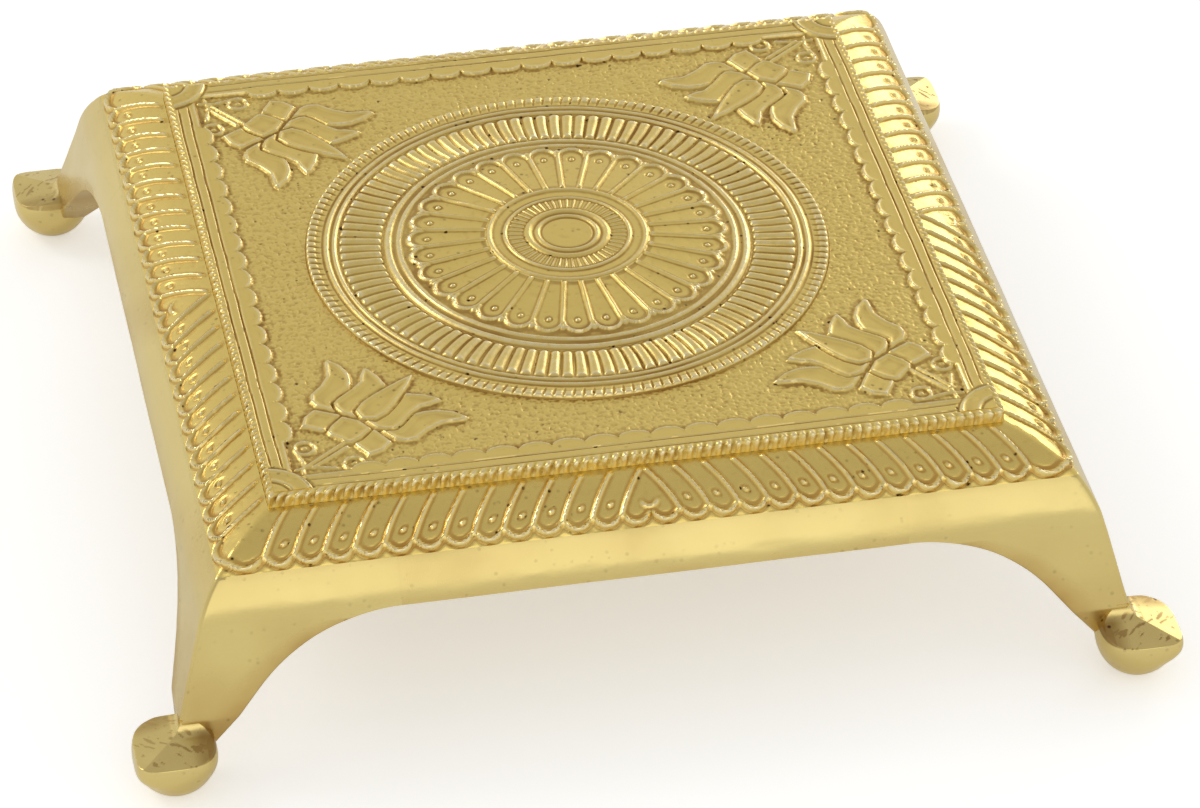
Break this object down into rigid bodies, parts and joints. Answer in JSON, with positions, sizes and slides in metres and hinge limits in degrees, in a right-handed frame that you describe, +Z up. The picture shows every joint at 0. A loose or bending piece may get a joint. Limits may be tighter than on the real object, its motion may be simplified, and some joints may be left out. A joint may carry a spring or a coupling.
{
  "type": "bajot low table",
  "caption": "Low square cast table in polished metal: carved mandala panel, lobed border, arched apron and splayed corner legs on ball feet.",
  "frame": {"origin": "middle of the table at floor level, where the feet stand", "axes": "+Z up, -Y towards the front of the picture, +X to the right; the four sides are alike"},
  "size_m": [0.2536, 0.2536, 0.0633],
  "materials": {
    "carved_panel_brass": "polished, with brown patina in the carving",
    "cast_brass": "polished, with worn brown patina in the hollows"
  },
  "bodies": {
    "root": {"top_panel": "carved_panel_brass", "border_frame": "cast_brass", "leg_front_left": "cast_brass", "leg_front_right": "cast_brass", "leg_back_left": "cast_brass", "leg_back_right": "cast_brass"}
  },
  "joints": []
}
